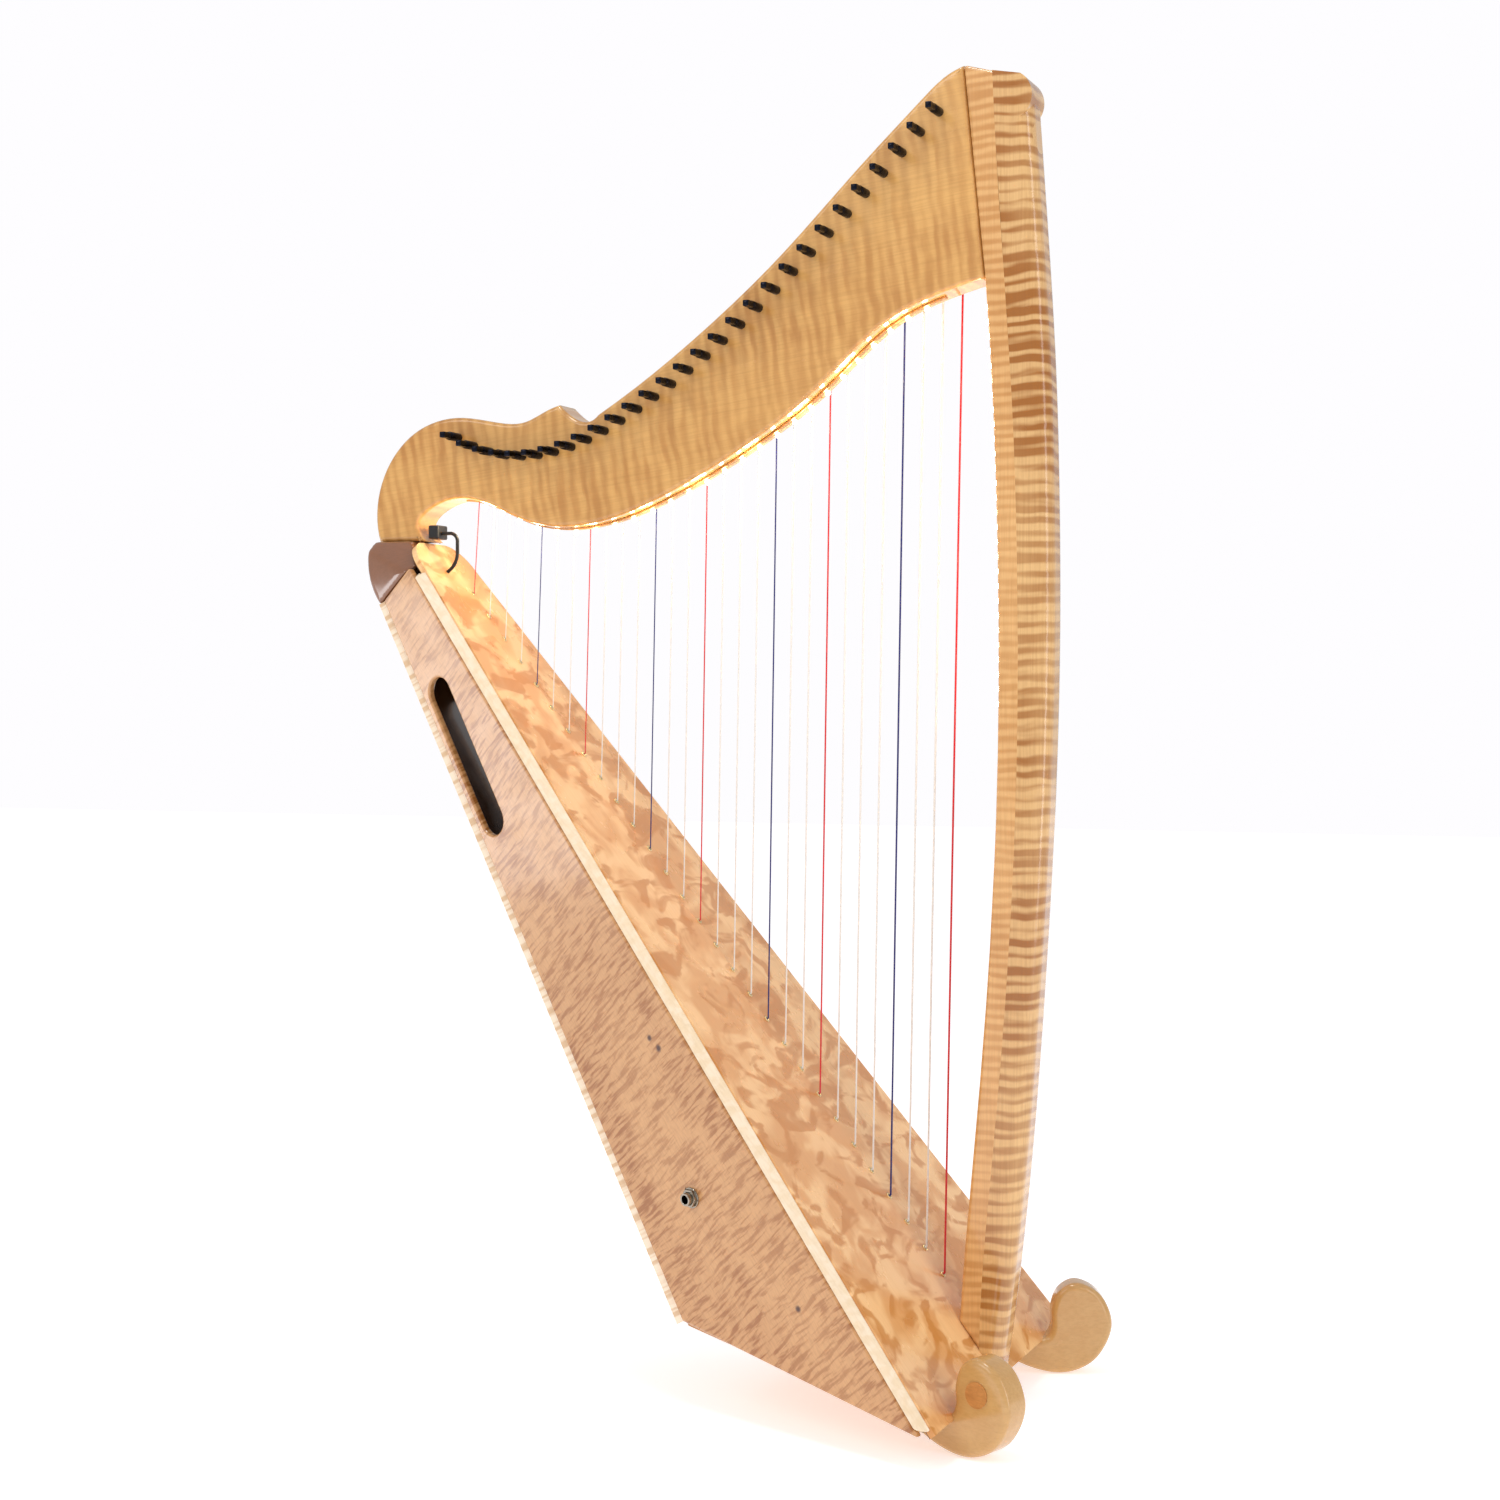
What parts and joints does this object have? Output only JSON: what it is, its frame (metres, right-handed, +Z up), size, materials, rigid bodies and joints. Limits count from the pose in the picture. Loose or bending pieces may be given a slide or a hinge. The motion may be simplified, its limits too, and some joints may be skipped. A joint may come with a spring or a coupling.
{
  "type": "lever harp, 29 strings",
  "caption": "Floor harp with a tapered sound box, a swept neck with turning pins, a bowed pillar, upright strings and two front feet.",
  "frame": {"origin": "middle of the base board's underside, where a stand carries the harp", "axes": "+X from the sound box's back to the pillar, +Y to the player's left, +Z up along the strings"},
  "size_m": [0.5694, 0.3424, 0.9794],
  "materials": {
    "quilted_board": "gloss lacquer over quilted maple",
    "curly_side": "gloss lacquer over curly maple",
    "curly_back": "gloss lacquer over curly maple",
    "plain_hardwood": "bare hardwood",
    "brown_block": "deep gloss lacquer",
    "pale_binding": "gloss lacquer over pale maple edge",
    "flamed_neck": "gloss lacquer over flamed maple",
    "pale_lamination": "gloss lacquer over maple",
    "banded_pillar": "gloss lacquer over strongly banded maple",
    "plug_wood": "gloss lacquer",
    "foot_wood": "gloss lacquer over plain maple",
    "inlay_wood": "satin",
    "blued_steel": "blued",
    "eyelet_brass": "polished",
    "string_red": "clear coloured gut or nylon",
    "string_blue": "clear coloured gut or nylon",
    "string_clear": "clear nylon",
    "nickel": "nickel plate",
    "ribbon_copper": "thin copper wires",
    "lamp_glow": "lit warm white",
    "black_plastic": "matt",
    "black_rubber": "matt"
  },
  "bodies": {
    "harp": {"soundboard": "quilted_board", "string_rib": "plain_hardwood", "side_panel_right": "curly_side", "side_panel_left": "curly_side", "back_panel": "curly_back", "base_board": "plain_hardwood", "back_braces": "plain_hardwood", "top_block": "brown_block", "binding_right": "pale_binding", "binding_left": "pale_binding", "neck": "flamed_neck", "pillar_lamination": "pale_lamination", "pillar": "banded_pillar", "pillar_plug": "plug_wood", "pillar_bolt": "blued_steel", "foot_right": "foot_wood", "foot_left": "foot_wood", "foot_medallions": "inlay_wood", "bridge_pins": "blued_steel", "string_eyelets": "eyelet_brass", "strings_c": "string_red", "strings_f": "string_blue", "strings_natural": "string_clear", "string_knots": "string_clear", "output_jack": "nickel", "jack_nut": "nickel", "lamp_ribbon_neck": "ribbon_copper", "lamp_ribbon_pillar": "ribbon_copper", "lamps": "lamp_glow", "lamp_driver": "black_plastic", "lamp_lead": "black_rubber"},
    "tuning_pin_01_body": {"tuning_pin_01": "blued_steel"},
    "tuning_pin_02_body": {"tuning_pin_02": "blued_steel"},
    "tuning_pin_03_body": {"tuning_pin_03": "blued_steel"},
    "tuning_pin_04_body": {"tuning_pin_04": "blued_steel"},
    "tuning_pin_05_body": {"tuning_pin_05": "blued_steel"},
    "tuning_pin_06_body": {"tuning_pin_06": "blued_steel"},
    "tuning_pin_07_body": {"tuning_pin_07": "blued_steel"},
    "tuning_pin_08_body": {"tuning_pin_08": "blued_steel"},
    "tuning_pin_09_body": {"tuning_pin_09": "blued_steel"},
    "tuning_pin_10_body": {"tuning_pin_10": "blued_steel"},
    "tuning_pin_11_body": {"tuning_pin_11": "blued_steel"},
    "tuning_pin_12_body": {"tuning_pin_12": "blued_steel"},
    "tuning_pin_13_body": {"tuning_pin_13": "blued_steel"},
    "tuning_pin_14_body": {"tuning_pin_14": "blued_steel"},
    "tuning_pin_15_body": {"tuning_pin_15": "blued_steel"},
    "tuning_pin_16_body": {"tuning_pin_16": "blued_steel"},
    "tuning_pin_17_body": {"tuning_pin_17": "blued_steel"},
    "tuning_pin_18_body": {"tuning_pin_18": "blued_steel"},
    "tuning_pin_19_body": {"tuning_pin_19": "blued_steel"},
    "tuning_pin_20_body": {"tuning_pin_20": "blued_steel"},
    "tuning_pin_21_body": {"tuning_pin_21": "blued_steel"},
    "tuning_pin_22_body": {"tuning_pin_22": "blued_steel"},
    "tuning_pin_23_body": {"tuning_pin_23": "blued_steel"},
    "tuning_pin_24_body": {"tuning_pin_24": "blued_steel"},
    "tuning_pin_25_body": {"tuning_pin_25": "blued_steel"},
    "tuning_pin_26_body": {"tuning_pin_26": "blued_steel"},
    "tuning_pin_27_body": {"tuning_pin_27": "blued_steel"},
    "tuning_pin_28_body": {"tuning_pin_28": "blued_steel"},
    "tuning_pin_29_body": {"tuning_pin_29": "blued_steel"}
  },
  "joints": [
    {"name": "pin_turn_01", "type": "hinge", "parent": "harp", "child": "tuning_pin_01_body", "pos_m": [-0.332, 0, 0.68087], "axis": [0, 1, 0], "continuous": true},
    {"name": "pin_turn_02", "type": "hinge", "parent": "harp", "child": "tuning_pin_02_body", "pos_m": [-0.3178, 0, 0.67362], "axis": [0, 1, 0], "continuous": true},
    {"name": "pin_turn_03", "type": "hinge", "parent": "harp", "child": "tuning_pin_03_body", "pos_m": [-0.3036, 0, 0.66859], "axis": [0, 1, 0], "continuous": true},
    {"name": "pin_turn_04", "type": "hinge", "parent": "harp", "child": "tuning_pin_04_body", "pos_m": [-0.2894, 0, 0.66543], "axis": [0, 1, 0], "continuous": true},
    {"name": "pin_turn_05", "type": "hinge", "parent": "harp", "child": "tuning_pin_05_body", "pos_m": [-0.2752, 0, 0.66404], "axis": [0, 1, 0], "continuous": true},
    {"name": "pin_turn_06", "type": "hinge", "parent": "harp", "child": "tuning_pin_06_body", "pos_m": [-0.261, 0, 0.66438], "axis": [0, 1, 0], "continuous": true},
    {"name": "pin_turn_07", "type": "hinge", "parent": "harp", "child": "tuning_pin_07_body", "pos_m": [-0.2468, 0, 0.66634], "axis": [0, 1, 0], "continuous": true},
    {"name": "pin_turn_08", "type": "hinge", "parent": "harp", "child": "tuning_pin_08_body", "pos_m": [-0.2326, 0, 0.66982], "axis": [0, 1, 0], "continuous": true},
    {"name": "pin_turn_09", "type": "hinge", "parent": "harp", "child": "tuning_pin_09_body", "pos_m": [-0.2184, 0, 0.67475], "axis": [0, 1, 0], "continuous": true},
    {"name": "pin_turn_10", "type": "hinge", "parent": "harp", "child": "tuning_pin_10_body", "pos_m": [-0.2042, 0, 0.68099], "axis": [0, 1, 0], "continuous": true},
    {"name": "pin_turn_11", "type": "hinge", "parent": "harp", "child": "tuning_pin_11_body", "pos_m": [-0.19, 0, 0.68834], "axis": [0, 1, 0], "continuous": true},
    {"name": "pin_turn_12", "type": "hinge", "parent": "harp", "child": "tuning_pin_12_body", "pos_m": [-0.1758, 0, 0.69652], "axis": [0, 1, 0], "continuous": true},
    {"name": "pin_turn_13", "type": "hinge", "parent": "harp", "child": "tuning_pin_13_body", "pos_m": [-0.1616, 0, 0.70524], "axis": [0, 1, 0], "continuous": true},
    {"name": "pin_turn_14", "type": "hinge", "parent": "harp", "child": "tuning_pin_14_body", "pos_m": [-0.1474, 0, 0.71444], "axis": [0, 1, 0], "continuous": true},
    {"name": "pin_turn_15", "type": "hinge", "parent": "harp", "child": "tuning_pin_15_body", "pos_m": [-0.1332, 0, 0.72414], "axis": [0, 1, 0], "continuous": true},
    {"name": "pin_turn_16", "type": "hinge", "parent": "harp", "child": "tuning_pin_16_body", "pos_m": [-0.119, 0, 0.73437], "axis": [0, 1, 0], "continuous": true},
    {"name": "pin_turn_17", "type": "hinge", "parent": "harp", "child": "tuning_pin_17_body", "pos_m": [-0.1048, 0, 0.74516], "axis": [0, 1, 0], "continuous": true},
    {"name": "pin_turn_18", "type": "hinge", "parent": "harp", "child": "tuning_pin_18_body", "pos_m": [-0.0906, 0, 0.75651], "axis": [0, 1, 0], "continuous": true},
    {"name": "pin_turn_19", "type": "hinge", "parent": "harp", "child": "tuning_pin_19_body", "pos_m": [-0.0764, 0, 0.76841], "axis": [0, 1, 0], "continuous": true},
    {"name": "pin_turn_20", "type": "hinge", "parent": "harp", "child": "tuning_pin_20_body", "pos_m": [-0.0622, 0, 0.7808], "axis": [0, 1, 0], "continuous": true},
    {"name": "pin_turn_21", "type": "hinge", "parent": "harp", "child": "tuning_pin_21_body", "pos_m": [-0.048, 0, 0.79364], "axis": [0, 1, 0], "continuous": true},
    {"name": "pin_turn_22", "type": "hinge", "parent": "harp", "child": "tuning_pin_22_body", "pos_m": [-0.0338, 0, 0.80684], "axis": [0, 1, 0], "continuous": true},
    {"name": "pin_turn_23", "type": "hinge", "parent": "harp", "child": "tuning_pin_23_body", "pos_m": [-0.0196, 0, 0.82034], "axis": [0, 1, 0], "continuous": true},
    {"name": "pin_turn_24", "type": "hinge", "parent": "harp", "child": "tuning_pin_24_body", "pos_m": [-0.0054, 0, 0.83405], "axis": [0, 1, 0], "continuous": true},
    {"name": "pin_turn_25", "type": "hinge", "parent": "harp", "child": "tuning_pin_25_body", "pos_m": [0.0088, 0, 0.84791], "axis": [0, 1, 0], "continuous": true},
    {"name": "pin_turn_26", "type": "hinge", "parent": "harp", "child": "tuning_pin_26_body", "pos_m": [0.023, 0, 0.86181], "axis": [0, 1, 0], "continuous": true},
    {"name": "pin_turn_27", "type": "hinge", "parent": "harp", "child": "tuning_pin_27_body", "pos_m": [0.0372, 0, 0.87571], "axis": [0, 1, 0], "continuous": true},
    {"name": "pin_turn_28", "type": "hinge", "parent": "harp", "child": "tuning_pin_28_body", "pos_m": [0.0514, 0, 0.8895], "axis": [0, 1, 0], "continuous": true},
    {"name": "pin_turn_29", "type": "hinge", "parent": "harp", "child": "tuning_pin_29_body", "pos_m": [0.0656, 0, 0.90312], "axis": [0, 1, 0], "continuous": true}
  ]
}
